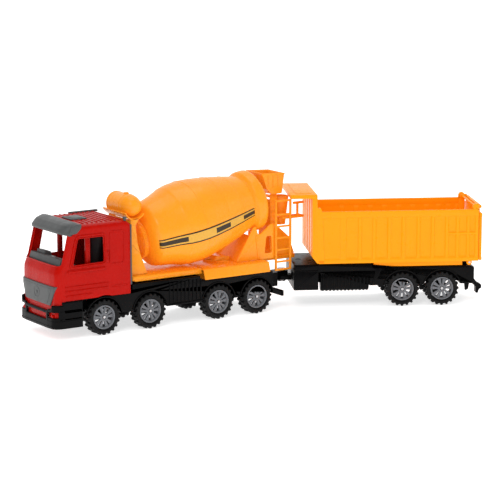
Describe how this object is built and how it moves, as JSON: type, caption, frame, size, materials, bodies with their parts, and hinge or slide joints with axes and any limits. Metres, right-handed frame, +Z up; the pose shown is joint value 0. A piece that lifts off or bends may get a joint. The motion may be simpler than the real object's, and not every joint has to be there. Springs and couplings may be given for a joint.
{
  "type": "toy concrete mixer truck with tipping trailer",
  "caption": "Moulded plastic toy concrete mixer truck with a red cab and a turning orange drum, towing a tipping trailer on a pin hitch",
  "frame": {"origin": "on the ground under the middle of the standing toy", "axes": "+X towards the trailer's tail, +Z up, the truck drives towards -X"},
  "size_m": [0.6572, 0.2294, 0.1928],
  "materials": {
    "red_plastic": "moulded, glossy",
    "orange_plastic": "moulded, satin gloss",
    "amber_plastic": "moulded, satin gloss",
    "black_plastic": "moulded, satin",
    "grey_plastic": "moulded, satin",
    "dark_grey_plastic": "moulded, satin",
    "silver_grey_plastic": "moulded, satin gloss",
    "tyre_rubber": "matt, moulded tread",
    "steel": "drawn wire and rod"
  },
  "bodies": {
    "truck": {"truck_chassis": "black_plastic", "truck_fenders": "black_plastic", "rear_underrun": "black_plastic", "cab_shell": "red_plastic", "cab_back_panel": "dark_grey_plastic", "roof_visor": "grey_plastic", "roof_hatch": "grey_plastic", "roof_rail": "grey_plastic", "roof_knob": "grey_plastic", "grille": "grey_plastic", "front_bumper": "black_plastic", "bumper_lamps": "red_plastic", "dashboard": "grey_plastic", "cab_seats": "dark_grey_plastic", "mixer_deck": "orange_plastic", "drum_front_support": "orange_plastic", "water_tank": "orange_plastic", "drum_rear_support": "orange_plastic", "discharge_frame": "orange_plastic", "hopper": "orange_plastic", "collector_funnel": "orange_plastic", "ladder": "orange_plastic", "platform": "orange_plastic"},
    "axle_set_1": {"axle_1": "steel", "rim_1_left": "silver_grey_plastic", "rim_1_right": "silver_grey_plastic", "tyre_1_left": "tyre_rubber", "tyre_1_right": "tyre_rubber"},
    "axle_set_2": {"axle_2": "steel", "rim_2_left": "silver_grey_plastic", "rim_2_right": "silver_grey_plastic", "tyre_2_left": "tyre_rubber", "tyre_2_right": "tyre_rubber"},
    "axle_set_3": {"axle_3": "steel", "rim_3_left": "silver_grey_plastic", "rim_3_right": "silver_grey_plastic", "tyre_3_left": "tyre_rubber", "tyre_3_right": "tyre_rubber"},
    "axle_set_4": {"axle_4": "steel", "rim_4_left": "silver_grey_plastic", "rim_4_right": "silver_grey_plastic", "tyre_4_left": "tyre_rubber", "tyre_4_right": "tyre_rubber"},
    "axle_set_5": {"axle_5": "steel", "rim_5_left": "silver_grey_plastic", "rim_5_right": "silver_grey_plastic", "tyre_5_left": "tyre_rubber", "tyre_5_right": "tyre_rubber"},
    "axle_set_6": {"axle_6": "steel", "rim_6_left": "silver_grey_plastic", "rim_6_right": "silver_grey_plastic", "tyre_6_left": "tyre_rubber", "tyre_6_right": "tyre_rubber"},
    "drum": {"drum_shell": "orange_plastic", "drum_ring_gear": "orange_plastic"},
    "trailer": {"trailer_chassis": "black_plastic", "hitch_pin": "steel", "tilt_rod": "steel"},
    "tipper": {"tipper_body": "amber_plastic"},
    "tailgate": {"tailgate": "amber_plastic"}
  },
  "joints": [
    {"name": "axle_1_spin", "type": "hinge", "parent": "truck", "child": "axle_set_1", "pos_m": [-0.25161, 0.05767, 0.024], "axis": [0, 1, 0], "continuous": true},
    {"name": "axle_2_spin", "type": "hinge", "parent": "truck", "child": "axle_set_2", "pos_m": [-0.18111, 0.05767, 0.024], "axis": [0, 1, 0], "continuous": true},
    {"name": "axle_3_spin", "type": "hinge", "parent": "truck", "child": "axle_set_3", "pos_m": [-0.07361, 0.05767, 0.024], "axis": [0, 1, 0], "continuous": true},
    {"name": "axle_4_spin", "type": "hinge", "parent": "truck", "child": "axle_set_4", "pos_m": [-0.01111, 0.05767, 0.024], "axis": [0, 1, 0], "continuous": true},
    {"name": "axle_5_spin", "type": "hinge", "parent": "trailer", "child": "axle_set_5", "pos_m": [0.20657, -0.01778, 0.024], "axis": [0.4587, 0.8886, 0], "continuous": true},
    {"name": "axle_6_spin", "type": "hinge", "parent": "trailer", "child": "axle_set_6", "pos_m": [0.25633, -0.04346, 0.024], "axis": [0.4587, 0.8886, 0], "continuous": true},
    {"name": "drum_spin", "type": "hinge", "parent": "truck", "child": "drum", "pos_m": [-0.16061, 0.05767, 0.1176], "axis": [0.9815, 0, 0.1917], "continuous": true},
    {"name": "hitch_yaw", "type": "hinge", "parent": "truck", "child": "trailer", "pos_m": [0.06039, 0.05767, 0.04], "axis": [0, 0, 1], "range_deg": [-2.7, 57.3]},
    {"name": "tipper_tilt", "type": "hinge", "parent": "trailer", "child": "tipper", "pos_m": [0.28965, -0.06066, 0.061], "axis": [0.4587, 0.8886, 0], "range_deg": [0, 40]},
    {"name": "tailgate_swing", "type": "hinge", "parent": "tipper", "child": "tailgate", "pos_m": [0.29676, -0.06433, 0.1395], "axis": [-0.4587, -0.8886, 0], "range_deg": [0, 70]}
  ]
}
